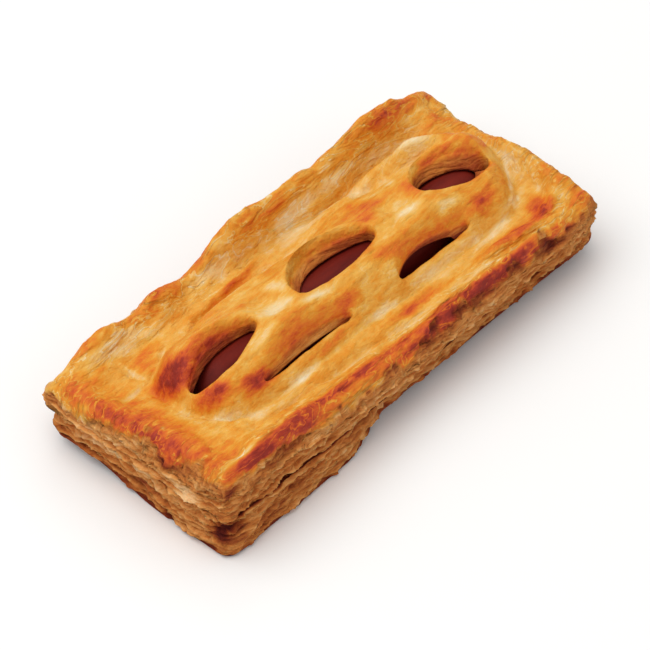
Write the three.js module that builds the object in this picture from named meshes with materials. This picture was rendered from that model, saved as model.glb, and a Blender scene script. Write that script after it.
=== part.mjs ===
// A sausage roll of the slit-lid kind: a frankfurter laid on a strip of puff pastry, covered by a second
// strip whose three rows of lengthwise slits were stretched over it, so that they opened into windows.
// Millimetres, +Z up. +X runs along the roll, and the origin is the centre of the underside.

import * as THREE from 'three';
import { mergeVertices } from 'three/addons/utils/BufferGeometryUtils.js';

// Driving dimensions
const LENGTH = 156;
const WIDTH = 66;
const HALF_LENGTH = LENGTH / 2;
const HALF_WIDTH = WIDTH / 2;
const CORNER_RADIUS = 5;
const SEAM_HEIGHT = 12.5;
const FLANGE_HEIGHT = 20.3;
const TOUCH_GAP = 0.3;

const SAUSAGE_RADIUS = 10.2;
const SAUSAGE_START = -54;
const SAUSAGE_END = 63;
const SAUSAGE_AXIS_HEIGHT = 16.6;
const SAUSAGE_CLEARANCE = 0.65;

const DOME_RISE = 12.5;
const DOME_REACH = 17.4;
const DOME_END_REACH = 14.5;
const DOME_START = -47;
const DOME_END = 54;
const DOME_FOOT_BLEND = 0.12;
const TUNNEL_HALF_WIDTH = 13;
const TUNNEL_FLARE = 6;

const LID_THICKNESS = 5.6;
const LIP_ROUNDING = 2.4;
const EDGE_ROUNDING = 4.4;
const STRETCH_REACH = 13;
const STRIP_CREST = 4.4;
const STRIP_REACH = 6.4;
const SLIT_SPREAD = 1.3;
const DRIFT_SPREAD = 2.2;
const FAR_PROUD = 1.4;
const END_PROUD = 0.9;
const CORNER_SHRINKAGE = [0.6, 2.4];
const LEAF_RELIEF = 0.5;
const LEAF_STEPS = [-1.1, 0.5, -0.5];

// Slits of the lid: where each starts and ends along the roll, the line it was cut on, how far its far
// and near lips have been pulled from that line, how much less the far lip's lower edge was pulled, how
// much later that edge starts and how much sooner it ends, how much the far strip rolled up and the near
// strip sank, how far the widest places of the far and near lips lean towards the start, how far the slit
// drifts to the near side along its length, how far the far strip's underside is lifted, and how far its
// lip bends down over what distance.
const NEAR_ROW = -13.8;
const MIDDLE_ROW = -1.2;
const FAR_ROW = 18.6;
const windows = [
  {
    row: MIDDLE_ROW, from: -58.2, to: -30, far: 4.8, near: 5.2, slant: 2.0, later: 0.6, sooner: 0.6,
    roll: 2.2, sink: 0.2, farLean: 0, nearLean: 0.5, drift: -1.6, lift: 0, bend: 3.0, bendReach: 5.4,
  },
  {
    row: MIDDLE_ROW, from: -15.6, to: 17.4, far: 9.2, near: 3.8, slant: 3.0, later: 3.0, sooner: 0,
    roll: 2.6, sink: 0, farLean: 0.3, nearLean: 0.1, drift: 0, lift: 0, bend: 2.8, bendReach: 4.6,
  },
  {
    row: MIDDLE_ROW, from: 36.6, to: 63, far: 8.3, near: 4.5, slant: 4.9, later: 0, sooner: 4.8,
    roll: 2.4, sink: 0.4, farLean: 0.2, nearLean: -0.1, drift: 2.8, lift: 0, bend: 1.5, bendReach: 4.0,
  },
  {
    row: NEAR_ROW, from: -42, to: -6, far: 3.3, near: -0.4, slant: 2.1, later: 0.6, sooner: 0.6,
    roll: 2.2, sink: 0, farLean: 0, nearLean: 0, drift: 0, lift: 2.0, bend: 1.8, bendReach: 2.4,
  },
  {
    row: NEAR_ROW, from: 12.6, to: 42.6, far: 3.5, near: 0.1, slant: 0.6, later: 0, sooner: 6.6,
    roll: 1.8, sink: 0.4, farLean: 0.4, nearLean: 0, drift: 0, lift: 2.0, bend: 2.0, bendReach: 4.0,
  },
];
const grooves = [
  { row: FAR_ROW, from: -39, to: 0, width: 3.4, depth: 2.6 },
  { row: FAR_ROW + 4.8, from: 8, to: 50, width: 2.6, depth: 1.4 },
  { row: FAR_ROW + 3.0, from: 38, to: 62, width: 2.6, depth: 1.6 },
];

// Swells of the lid: where each is highest, its half length and half width, its turn and its rise.
const swells = [
  { name: 'front corner', x: -66, y: -27, long: 40, wide: 36, turn: 0, rise: 4.6 },
  { name: 'front rim pad', x: -67, y: -3, long: 8, wide: 20, turn: 0, rise: 1.4 },
  { name: 'near ridge, front', x: -46, y: -28, long: 52, wide: 7, turn: 0, rise: 2.8 },
  { name: 'near ridge, back', x: 34, y: -29.6, long: 60, wide: 5, turn: 0, rise: 3.0 },
  { name: 'near end rim', x: -73, y: -2, long: 40, wide: 7, turn: 90, rise: 2.6 },
  { name: 'far end rim', x: 74, y: -12, long: 24, wide: 6, turn: 90, rise: 5.4 },
  { name: 'far end rim, far part', x: 74, y: 12, long: 18, wide: 6, turn: 90, rise: 2.6 },
  { name: 'far left corner', x: -66, y: 27, long: 17, wide: 9, turn: 8, rise: 3.4 },
  { name: 'far left fold', x: -57, y: 31, long: 16, wide: 7, turn: 0, rise: 5.2 },
  { name: 'far ruffle', x: -37, y: 30, long: 12, wide: 7, turn: 4, rise: 4.6 },
  { name: 'far rim', x: 12, y: 31.5, long: 90, wide: 7, turn: 0, rise: 4.2 },
  { name: 'far middle fold', x: -1, y: 31, long: 23, wide: 7, turn: -2, rise: 7.2 },
  { name: 'far middle fold, back', x: 24, y: 31, long: 20, wide: 6, turn: 0, rise: 5.0 },
  { name: 'far right fold', x: 53, y: 31, long: 27, wide: 7.5, turn: 0, rise: 9.2 },
  { name: 'far right corner', x: 67, y: 23, long: 8, wide: 9, turn: 0, rise: 3.4 },
  { name: 'far right corner rim', x: 75, y: 30, long: 11, wide: 11, turn: 0, rise: 2.6 },
  { name: 'inner near bump', x: 44, y: -24.6, long: 26, wide: 3.4, turn: -4, rise: 2.8 },
  { name: 'inner near bump, end', x: 65, y: -23.4, long: 10, wide: 3.4, turn: 22, rise: 2.6 },
  { name: 'near band', x: -14, y: -18.6, long: 36, wide: 4.4, turn: -1, rise: 1.4 },
  { name: 'strip over the first window', x: -52, y: 8, long: 13, wide: 7, turn: 12, rise: 1.4 },
  { name: 'strip over the last window', x: 47.7, y: 15.8, long: 19.2, wide: 5.7, turn: -24, rise: 9.3 },
  { name: 'end of that strip', x: 65.2, y: 4.2, long: 13.2, wide: 7.6, turn: -42, rise: 5.4 },
  { name: 'strip before the closed cut', x: -20, y: 14, long: 22, wide: 3.4, turn: 1, rise: 1.8 },
  { name: 'far side of the dome', x: 24, y: 18.2, long: 20, wide: 5, turn: 2, rise: 3.8 },
  { name: 'past the end of the dome', x: 72, y: -2, long: 9, wide: 14, turn: 0, rise: 2.6 },
  { name: 'valley below the far fold', x: 46, y: 22.5, long: 26, wide: 5, turn: 0, rise: -1.4 },
  { name: 'web between the first windows', x: -22.5, y: 2, long: 9, wide: 8, turn: 0, rise: -2.6 },
  { name: 'web between the last windows', x: 28, y: 2, long: 8, wide: 7, turn: 0, rise: -2.2 },
  { name: 'web between the near slits', x: 2, y: -14, long: 9, wide: 6, turn: 0, rise: -1.4 },
];

// The wavy leaves of the sides: how far the pastry base stands in from the lid along each side, and how
// far its lower edge lifts off the table towards the corners.
const BASE_NEAR_INSET = 3.2;
const BASE_NEAR_INSET_START = -32;
const BASE_END_INSET = 1.6;
const BASE_EDGE_LIFT = 3.6;
const BASE_LIFT_REACH = 7;
const BASE_FRONT_PROUD = 0.6;

const clamp = (value, low, high) => Math.min(Math.max(value, low), high);
const ease = (t) => {
  const c = clamp(t, 0, 1);
  return c * c * (3 - 2 * c);
};
const bell = (r) => (Math.abs(r) < 1 ? (1 - r * r) ** 2 : 0);
const roundOff = (distance, radius) => {
  const t = clamp(distance / radius, 0, 1);
  return radius * (1 - Math.sqrt(1 - (1 - t) ** 2));
};

// Leaves of a puffed edge wander in and out of each other; phase sets one leaf apart from the next.
function wander(along, phase) {
  return 0.55 * Math.sin(0.19 * along + 2.3 * phase) + 0.45 * Math.sin(0.47 * along + 4.1 * phase);
}

// How open a slit is at x, from 0 at its ends to 1 in the middle. Away from the slit its pull fades out
// more softly and reaches a little past its ends.
function slitOpening(slit, layer, x, lean, away) {
  const t = slitShare(slit, layer, x);
  const widest = t + lean * (1 - t * t);
  const sharp = Math.abs(t) < 1 ? Math.sqrt(1 - t * t) * (1 - 0.35 * widest * widest) : 0;
  return sharp + (0.9 * bell(t / SLIT_SPREAD) - sharp) * ease(away / 7);
}

// Where x lies along a slit, from -1 at its start to 1 at its end. The slit is shorter on the underside.
function slitShare(slit, layer, x) {
  const from = slit.from + (layer === 'under' ? slit.later : 0);
  const to = slit.to - (layer === 'under' ? slit.sooner : 0);
  return (x - (from + to) / 2) / ((to - from) / 2);
}

// Where a point of the flat, uncut sheet goes when the slits open. lip is 1 on the far side of a slit,
// -1 on its near side and 0 away from slits.
function stretch(layer, u, v, lip) {
  let y = v;
  for (const slit of windows) {
    const away = Math.abs(v - slit.row);
    const side = Math.sign(v - slit.row) || lip;
    const fall = 1 - ease(away / STRETCH_REACH);
    const far = slit.far - (layer === 'under' ? slit.slant : 0);
    const lean = side > 0 ? slit.farLean : slit.nearLean;
    y += (side > 0 ? far : -slit.near) * slitOpening(slit, layer, u, lean, away) * fall * Math.abs(side);
    const share = slitShare(slit, 'top', u);
    y -= slit.drift * share * bell(share / DRIFT_SPREAD) * fall;
  }
  const [x, roundY] = shrinkCorner(...roundCorner(u, y));
  return [x + END_PROUD * ease((x - 64) / 13), roundY + FAR_PROUD * ease((roundY - 18) / 14)];
}

// Draws in the lid's near corner at the far end, which has shrunk in the oven.
function shrinkCorner(x, y) {
  const share = ease((x - 62) / 16) * ease((-y - 14) / 19);
  return [x - CORNER_SHRINKAGE[0] * share, y + CORNER_SHRINKAGE[1] * share];
}

// The strips beside a slit are rounded bars: the far one rolls up, and the near one sinks.
function stripHeight(u, v, lip) {
  let z = 0;
  for (const slit of windows) {
    const away = Math.abs(v - slit.row);
    const side = Math.sign(v - slit.row) || lip;
    const open = slitOpening(slit, 'top', u, side > 0 ? slit.farLean : slit.nearLean, away);
    if (side > 0) z += slit.roll * bell((away - STRIP_CREST) / STRIP_REACH) * open;
    if (side < 0) z -= slit.sink * bell(away / STRIP_REACH) * open;
  }
  return z;
}

// How far the lips of the slits bend down: far ones over a reach of their own, near ones in a short round.
function lipDrop(u, v, lip) {
  let drop = 0;
  for (const slit of windows) {
    const away = Math.abs(v - slit.row);
    const far = (Math.sign(v - slit.row) || lip) > 0;
    const depth = far ? slit.bend : LIP_ROUNDING;
    const reach = far ? slit.bendReach : LIP_ROUNDING;
    drop += roundOff((away * depth) / reach, depth) * ease(2.5 * slitOpening(slit, 'top', u, 0, away));
  }
  return drop;
}

// How far the underside of the strips beyond the slits is lifted off the sausage.
function undersideLift(u, v, lip) {
  let z = 0;
  for (const slit of windows) {
    const far = (Math.sign(v - slit.row) || lip) > 0;
    const open = ease(2 * slitOpening(slit, 'top', u, 0, 0));
    if (far) z += slit.lift * open * bell((v - slit.row) / STRIP_REACH);
  }
  return z;
}

// Turns the square corner of the flat sheet into a round one.
function roundCorner(x, y) {
  const a = (Math.abs(x) - (HALF_LENGTH - CORNER_RADIUS)) / CORNER_RADIUS;
  const b = (Math.abs(y) - (HALF_WIDTH - CORNER_RADIUS)) / CORNER_RADIUS;
  if (a <= 0 || b <= 0) return [x, y];
  const k = Math.max(a, b) / Math.hypot(a, b);
  return [
    Math.sign(x) * (HALF_LENGTH - CORNER_RADIUS * (1 - a * k)),
    Math.sign(y) * (HALF_WIDTH - CORNER_RADIUS * (1 - b * k)),
  ];
}

function swellHeight(x, y) {
  let z = 0;
  for (const s of swells) {
    const turn = THREE.MathUtils.degToRad(s.turn);
    const dx = (x - s.x) * Math.cos(turn) + (y - s.y) * Math.sin(turn);
    const dy = (y - s.y) * Math.cos(turn) - (x - s.x) * Math.sin(turn);
    z += s.rise * bell(Math.hypot(dx / s.long, dy / s.wide));
  }
  return z;
}

// The lid over the sausage: round across and at both ends, with a soft foot on the flange.
function domeHeight(x, y) {
  const beyond = Math.max(DOME_START - x, x - DOME_END, 0) / DOME_END_REACH;
  const from = Math.min(Math.hypot(beyond, y / DOME_REACH), 1);
  const round = (1 - from * from) ** 0.75;
  return (DOME_RISE * (1 + DOME_FOOT_BLEND) * round * round) / (round + DOME_FOOT_BLEND);
}

function grooveDepth(x, y) {
  let depth = 0;
  for (const g of grooves) {
    depth += g.depth * bell(slitShare(g, 'top', x)) * bell((y - g.row) / g.width);
  }
  return depth;
}

// Height of the lid's outside, before its cut lips and its edge are rounded off.
function lidHeight(x, y) {
  return FLANGE_HEIGHT + domeHeight(x, y) + swellHeight(x, y) - grooveDepth(x, y);
}

function seamHeight(x) {
  return SEAM_HEIGHT + 0.8 * Math.sin(x / 19) - 0.8 * ease((x - 20) / 50);
}

function sausageTop(x, y) {
  const radius = SAUSAGE_RADIUS + SAUSAGE_CLEARANCE;
  const start = SAUSAGE_START + SAUSAGE_RADIUS;
  const end = SAUSAGE_END - SAUSAGE_RADIUS;
  const d = Math.hypot(Math.max(start - x, x - end, 0), y);
  return d < radius ? Math.sqrt(radius * radius - d * d) : 0;
}

function lidPoint(layer, u, v, lip) {
  const [x, y] = stretch(layer, u, v, lip);
  if (layer === 'under') {
    const seam = seamHeight(x) + TOUCH_GAP / 2;
    const beyond = Math.max(DOME_START - x, x - DOME_END, 0);
    const inside = 1 - ease((Math.hypot(beyond, y) - TUNNEL_HALF_WIDTH) / TUNNEL_FLARE);
    const ceiling = lidHeight(x, y) - LID_THICKNESS + undersideLift(u, v, lip);
    const roof = seam + Math.max(ceiling - seam, 0) * inside;
    const over = sausageTop(x, y);
    return [x, y, over > 0 ? Math.max(roof, SAUSAGE_AXIS_HEIGHT + over) : roof];
  }
  const drop = roundOff(edgeDistance(u, v), EDGE_ROUNDING) + lipDrop(u, v, lip);
  return [x, y, lidHeight(x, y) + stripHeight(u, v, lip) - drop];
}

function edgeDistance(u, v) {
  return Math.min(HALF_LENGTH - Math.abs(u), HALF_WIDTH - Math.abs(v));
}

function basePoint(layer, u, v) {
  let [x, y] = roundCorner(u, v);
  const right = ease((x - BASE_NEAR_INSET_START) / 20);
  if (y < 0) y *= 1 - (BASE_NEAR_INSET * right - BASE_FRONT_PROUD * (1 - right)) / HALF_WIDTH;
  if (y > 0) y *= 1 - BASE_END_INSET / HALF_WIDTH;
  x *= 1 - BASE_END_INSET * ease((y + 20) / 30) / HALF_LENGTH;
  if (layer === 'under') {
    const lift = BASE_EDGE_LIFT * (1 - ease(edgeDistance(u, v) / BASE_LIFT_REACH));
    const corner = Math.max(right, ease((y + 5) / 25));
    return [x, y, lift * corner];
  }
  const floor = SAUSAGE_AXIS_HEIGHT - sausageTop(x, y);
  const seam = seamHeight(x) - TOUCH_GAP / 2;
  return [x, y, sausageTop(x, y) > 0 ? Math.min(seam, floor) : seam];
}

// Grid lines from low to high about step apart, with each exact value on a line.
function gridLines(low, high, step, exact) {
  const stops = [low, ...exact.filter((e) => e > low && e < high), high].sort((a, b) => a - b);
  const lines = [low];
  for (let k = 1; k < stops.length; k++) {
    const count = Math.max(1, Math.round((stops[k] - stops[k - 1]) / step));
    for (let n = 1; n <= count; n++) lines.push(stops[k - 1] + ((stops[k] - stops[k - 1]) * n) / count);
  }
  return lines;
}

// A closed sheet: a top and an underside on the same grid, joined by walls at the slits and by leafy
// sides, whose rings step in and out.
function leafySheet({ us, vs, point, slits, rings, seed }) {
  const positions = [];
  const faces = [];
  const known = new Map();
  const last = [us.length - 1, vs.length - 1];
  const cut = (i, j) => slits.some((s) => s.row === vs[j] && us[i] > s.from && us[i] < s.to);

  function vertex(layer, i, j, side) {
    const lip = cut(i, j) ? side : 0;
    const key = `${layer} ${i} ${j} ${lip}`;
    if (!known.has(key)) {
      known.set(key, positions.length / 3);
      positions.push(...point(layer, us[i], vs[j], lip));
    }
    return known.get(key);
  }
  const read = (index) => new THREE.Vector3().fromArray(positions, 3 * index);
  // Splits a four-sided face along its shorter diagonal.
  function quad(a, b, c, d) {
    const forward = read(a).distanceTo(read(c)) <= read(b).distanceTo(read(d));
    faces.push(...(forward ? [a, b, c, a, c, d] : [a, b, d, b, c, d]));
  }

  for (let i = 0; i < last[0]; i++) {
    for (let j = 0; j < last[1]; j++) {
      for (const layer of ['top', 'under']) {
        const corners = [
          vertex(layer, i, j, 1),
          vertex(layer, i + 1, j, 1),
          vertex(layer, i + 1, j + 1, -1),
          vertex(layer, i, j + 1, -1),
        ];
        quad(...(layer === 'top' ? corners : corners.reverse()));
      }
    }
  }
  for (const slit of slits) {
    const j = vs.indexOf(slit.row);
    for (let i = 0; i < last[0]; i++) {
      if (us[i] < slit.from || us[i + 1] > slit.to) continue;
      for (const side of [1, -1]) {
        const wall = [
          vertex('top', i, j, side),
          vertex('under', i, j, side),
          vertex('under', i + 1, j, side),
          vertex('top', i + 1, j, side),
        ];
        quad(...(side > 0 ? wall : wall.reverse()));
      }
    }
  }

  const edge = [];
  for (let i = 0; i < last[0]; i++) edge.push([i, 0]);
  for (let j = 0; j < last[1]; j++) edge.push([last[0], j]);
  for (let i = last[0]; i > 0; i--) edge.push([i, last[1]]);
  for (let j = last[1]; j > 0; j--) edge.push([0, j]);
  const upper = edge.map(([i, j]) => vertex('top', i, j, 0));
  const lower = edge.map(([i, j]) => vertex('under', i, j, 0));
  const count = edge.length;
  let along = 0;
  const bands = [upper];
  for (let k = 1; k < rings; k++) bands.push([]);
  for (let n = 0; n < count; n++) {
    const before = read(upper[(n + count - 1) % count]);
    const after = read(upper[(n + 1) % count]);
    const out = new THREE.Vector3(after.y - before.y, before.x - after.x, 0).normalize();
    along += read(upper[n]).distanceTo(after);
    for (let k = 1; k < rings; k++) {
      const place = read(upper[n]).lerp(read(lower[n]), k / rings);
      place.addScaledVector(out, LEAF_RELIEF * wander(along, k + seed) + LEAF_STEPS[k - 1]);
      bands[k].push(positions.length / 3);
      positions.push(...place.toArray());
    }
  }
  bands.push(lower);
  for (let k = 0; k < rings; k++) {
    for (let n = 0; n < count; n++) {
      const m = (n + 1) % count;
      quad(bands[k][n], bands[k + 1][n], bands[k + 1][m], bands[k][m]);
    }
  }

  const geometry = new THREE.BufferGeometry();
  geometry.setAttribute('position', new THREE.Float32BufferAttribute(positions, 3));
  geometry.setIndex(faces);
  geometry.computeVertexNormals();
  return geometry;
}

function lidGeometry() {
  const tips = windows.flatMap((slit) => [slit.from, slit.to]);
  const rims = [0.8, 2.2, 4.4].flatMap((margin) => [margin - HALF_LENGTH, HALF_LENGTH - margin]);
  const lips = [NEAR_ROW, MIDDLE_ROW].flatMap((row) => [row - 3.6, row - 1.2, row, row + 1.2, row + 3.6]);
  const hems = [0.8, 2.2, 4.4].flatMap((margin) => [margin - HALF_WIDTH, HALF_WIDTH - margin]);
  return leafySheet({
    us: gridLines(-HALF_LENGTH, HALF_LENGTH, 2.8, [...tips, ...rims]),
    vs: gridLines(-HALF_WIDTH, HALF_WIDTH, 2.6, [...lips, ...hems, FAR_ROW]),
    point: lidPoint,
    slits: windows,
    rings: 4,
    seed: 0,
  });
}

function baseGeometry() {
  const rims = [3, 7].flatMap((margin) => [margin - HALF_LENGTH, HALF_LENGTH - margin]);
  const hems = [3, 7].flatMap((margin) => [margin - HALF_WIDTH, HALF_WIDTH - margin]);
  const ends = [0, 2, 4.5, 7.5, 11].flatMap((margin) => [SAUSAGE_START + margin, SAUSAGE_END - margin]);
  return leafySheet({
    us: gridLines(-HALF_LENGTH, HALF_LENGTH, 6, [...rims, ...ends]),
    vs: gridLines(-HALF_WIDTH, HALF_WIDTH, 4.6, [...hems, -10.5, -8, -5.4, -2.7, 0, 2.7, 5.4, 8, 10.5]),
    point: basePoint,
    slits: [],
    rings: 4,
    seed: 9,
  });
}

function sausageGeometry() {
  const straight = SAUSAGE_END - SAUSAGE_START - 2 * SAUSAGE_RADIUS;
  const capsule = new THREE.CapsuleGeometry(SAUSAGE_RADIUS, straight, 6, 22, 8);
  capsule.deleteAttribute('normal');
  capsule.deleteAttribute('uv');
  const geometry = mergeVertices(capsule, 1e-3);
  geometry.rotateZ(Math.PI / 2);
  geometry.translate((SAUSAGE_START + SAUSAGE_END) / 2, 0, SAUSAGE_AXIS_HEIGHT);
  geometry.computeVertexNormals();
  return geometry;
}

function piece(name, geometry, color, roughness) {
  const mesh = new THREE.Mesh(geometry, new THREE.MeshStandardMaterial({ color, roughness, metalness: 0 }));
  mesh.name = name;
  return mesh;
}

const roll = new THREE.Group();
roll.add(piece('pastry_base', baseGeometry(), 0xb98545, 0.8));
roll.add(piece('pastry_lid', lidGeometry(), 0xe0a045, 0.45));
roll.add(piece('sausage', sausageGeometry(), 0x7a3a30, 0.4));

export default roll;
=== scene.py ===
import math
from collections import namedtuple

import bmesh
import bpy
import numpy as np
from mathutils import Matrix, Vector, noise


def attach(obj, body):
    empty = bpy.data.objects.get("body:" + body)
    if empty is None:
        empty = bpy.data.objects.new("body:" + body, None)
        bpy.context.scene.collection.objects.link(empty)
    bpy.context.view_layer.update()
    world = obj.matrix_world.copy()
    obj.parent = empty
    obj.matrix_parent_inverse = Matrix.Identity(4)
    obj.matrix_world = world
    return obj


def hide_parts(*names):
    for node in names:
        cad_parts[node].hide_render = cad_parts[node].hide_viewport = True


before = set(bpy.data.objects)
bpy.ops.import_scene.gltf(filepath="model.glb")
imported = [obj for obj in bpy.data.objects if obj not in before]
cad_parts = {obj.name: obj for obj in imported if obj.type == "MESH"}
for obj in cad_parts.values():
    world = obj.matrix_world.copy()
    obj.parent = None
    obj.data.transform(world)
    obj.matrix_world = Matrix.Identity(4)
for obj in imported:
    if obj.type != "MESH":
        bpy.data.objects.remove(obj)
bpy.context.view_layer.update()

# Camera. A long lens looks down at the front corner of the roll, whose length runs away to the upper right.
CAMERA_TURN = math.radians(-48.6)
CAMERA_RAISE = math.radians(44)
CAMERA_DISTANCE = 1.23
CAMERA_LENS = 250
CAMERA_AIM = Vector((-0.002, 0, 0.009))

back = Vector((
    math.sin(CAMERA_TURN) * math.cos(CAMERA_RAISE),
    -math.cos(CAMERA_TURN) * math.cos(CAMERA_RAISE),
    math.sin(CAMERA_RAISE),
))
right = Vector((math.cos(CAMERA_TURN), math.sin(CAMERA_TURN), 0))
camera = bpy.data.objects.new("camera", bpy.data.cameras.new("camera"))
camera.data.lens = CAMERA_LENS
camera.matrix_world = (
    Matrix.Translation(CAMERA_AIM + back * CAMERA_DISTANCE)
    @ Matrix((right, back.cross(right), back)).transposed().to_4x4()
)
bpy.context.scene.collection.objects.link(camera)
bpy.context.scene.camera = camera


# Pastry base. The lower strip of puff pastry, which the sausage was laid on. Its cut sides have risen into
# wavy leaves, its middle is pressed down into a trough, and a dark crust has formed where it met the tray.
MM = 0.001
LENGTH = 156
WIDTH = 66
HALF_LENGTH = LENGTH / 2
HALF_WIDTH = WIDTH / 2
CORNER_RADIUS = 3.4
TOUCHING = 0.001

SEAM_HEIGHT = 12.5
SEAM_GAP = 0.3
SEAM_WAVE = 0.8
SEAM_WAVE_SPREAD = 19

TROUGH_RADIUS = 10.85
TROUGH_START = -54
TROUGH_END = 63
TROUGH_AXIS_HEIGHT = 16.6

BASE_STEP = 0.75
BASE_RINGS = 52
BASE_NEAR_INSET = 3.2
BASE_END_INSET = 1.6
BASE_EDGE_LIFT = 3.6
BASE_LIFT_REACH = 7
BASE_FRONT_PROUD = 0.6
BASE_EDGE_ROUNDING = 1.1
# What grows along the roll: how much, from where, and over what length.
SEAM_FALL = (0.8, 20, 50)
BASE_NEAR_SIDE = (1, -32, 20)
BASE_FAR_SIDE = (1, -5, 25)
BASE_END = (1, -20, 30)

# The leaves of a risen side. Swells are given by their height in mm, their size in mm and a seed.
LEAF_PITCH = 2.3
LEAF_EDGE = 0.17
LEAF_WAVES = [(2.6, (34, 34, 22), 4.0), (1.7, (14, 14, 6), 7.0), (0.4, (4, 4, 4), 9.0)]
LEAF_STAND = 0.4
LEAF_TEARS = [(1.3, (11, 11, 10), 12.0), (0.6, (3.6, 3.6, 10), 15.0)]
LEAF_TEARS_APART = 37
POCKET_STAND = -0.5
POCKETS = [(1.5, (12, 12, 5), 21.0)]
CURL_STAND = 0.7
CURL_SIZE = (10, 10, 2.1)
CURL_WIDTH = 0.14
FINE_CURL_STAND = 0.3
FINE_CURL_SIZE = (4.5, 4.5, 1.2)
FINE_CURL_WIDTH = 0.16
# How much of a leaf's edge and of each curl shows as a pale line.
EDGE_SHOWS = 0.6
CURL_SHOWS = 0.7
FINE_CURL_SHOWS = 0.4

# The crust underneath, and the gap that has opened above it at the front.
CRUST_HEIGHT = 1.1
CRUST_STAND = 0.5
GAP_HEIGHT = 5.4
GAP_HALF_HEIGHT = 1.0
GAP_DEPTH = 2.2
GAP_WAVES = [(0.9, (9, 9, 9), 2.0)]
GAP_FALL = (5.0, -4, 22)
GAP_WIDTH = (1, -18, 6)


def ease(t):
    """Rises smoothly from 0 to 1."""
    t = np.clip(t, 0, 1)
    return t * t * (3 - 2 * t)


def growing(amount, start, reach, at):
    """Grows from 0 to an amount over a reach from its start on."""
    return amount * ease((at - start) / reach)


def bell(r):
    """1 in the middle and 0 from r = 1 on."""
    return np.where(np.abs(r) < 1, (1 - r * r) ** 2, 0)


def rounding(distance, radius):
    """How far a rounded edge has dropped at a distance inside it."""
    t = np.clip(distance / radius, 0, 1)
    return radius * (1 - np.sqrt(1 - (1 - t) ** 2))


def crowded(distance, radius):
    """Brings grid lines closer together towards a rounded edge, so that its curve has even steps."""
    arc = radius * (1 - np.cos(np.clip(distance / radius, 0, 1) * math.pi / 2))
    return np.where(distance < radius, arc, distance)


def grain(place, size, seed, octaves=2):
    """Soft noise of about -0.8 to 0.8 at points in mm, whose swells are as far apart as size says."""
    spots = place / np.array(size) + (seed, -0.7 * seed, 1.3 * seed)
    return np.array([noise.fractal(spot, 1.0, 2.0, octaves) for spot in spots.tolist()])


def waves(place, swells):
    """The sum of soft swells at points in mm."""
    total = 0
    for height, size, seed in swells:
        total = total + height * grain(place, size, seed)
    return total


def thin_lines(place, size, seed, octaves, width):
    """1 along thin lines that wander through soft noise, and 0 beside them."""
    return 1 - np.clip(np.abs(grain(place, size, seed, octaves)) / width, 0, 1)


def patches(x, y, spots):
    """The sum of oval patches, each with its centre, half length, half width, turn in degrees and amount."""
    total = np.zeros(np.shape(x))
    for _, at_x, at_y, long, wide, turn, amount in spots:
        angle = math.radians(turn)
        along = (x - at_x) * math.cos(angle) + (y - at_y) * math.sin(angle)
        across = (y - at_y) * math.cos(angle) - (x - at_x) * math.sin(angle)
        total = total + amount * bell(np.hypot(along / long, across / wide))
    return total


def round_corner(x, y):
    """Turns the square corners of the cut strip into round ones."""
    a = (np.abs(x) - (HALF_LENGTH - CORNER_RADIUS)) / CORNER_RADIUS
    b = (np.abs(y) - (HALF_WIDTH - CORNER_RADIUS)) / CORNER_RADIUS
    corner = (a > 0) & (b > 0)
    k = np.where(corner, np.maximum(a, b) / np.maximum(np.hypot(a, b), 1e-6), 1)
    round_x = np.sign(x) * (HALF_LENGTH - CORNER_RADIUS * (1 - a * k))
    round_y = np.sign(y) * (HALF_WIDTH - CORNER_RADIUS * (1 - b * k))
    return np.where(corner, round_x, x), np.where(corner, round_y, y)


def outward(x, y):
    """The level direction in which the sides face at x, y."""
    ahead = np.sign(x) * np.clip(np.abs(x) - (HALF_LENGTH - CORNER_RADIUS), 0, None)
    aside = np.sign(y) * np.clip(np.abs(y) - (HALF_WIDTH - CORNER_RADIUS), 0, None)
    size = np.maximum(np.hypot(ahead, aside), 1e-6)
    return ahead / size, aside / size


def edge_distance(u, v):
    """How far a point of the flat strip lies from its nearest edge."""
    return np.minimum(HALF_LENGTH - np.abs(u), HALF_WIDTH - np.abs(v))


def seam_height(x):
    """The height at which the lid lies on the base."""
    return SEAM_HEIGHT + SEAM_WAVE * np.sin(x / SEAM_WAVE_SPREAD) - growing(*SEAM_FALL, x)


def trough_depth(x, y):
    """How far the bed of the sausage lies below the sausage's axis."""
    start = TROUGH_START + TROUGH_RADIUS
    end = TROUGH_END - TROUGH_RADIUS
    beyond = np.maximum(np.maximum(start - x, x - end), 0)
    return np.sqrt(np.clip(TROUGH_RADIUS**2 - beyond**2 - y**2, 0, None))


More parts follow.
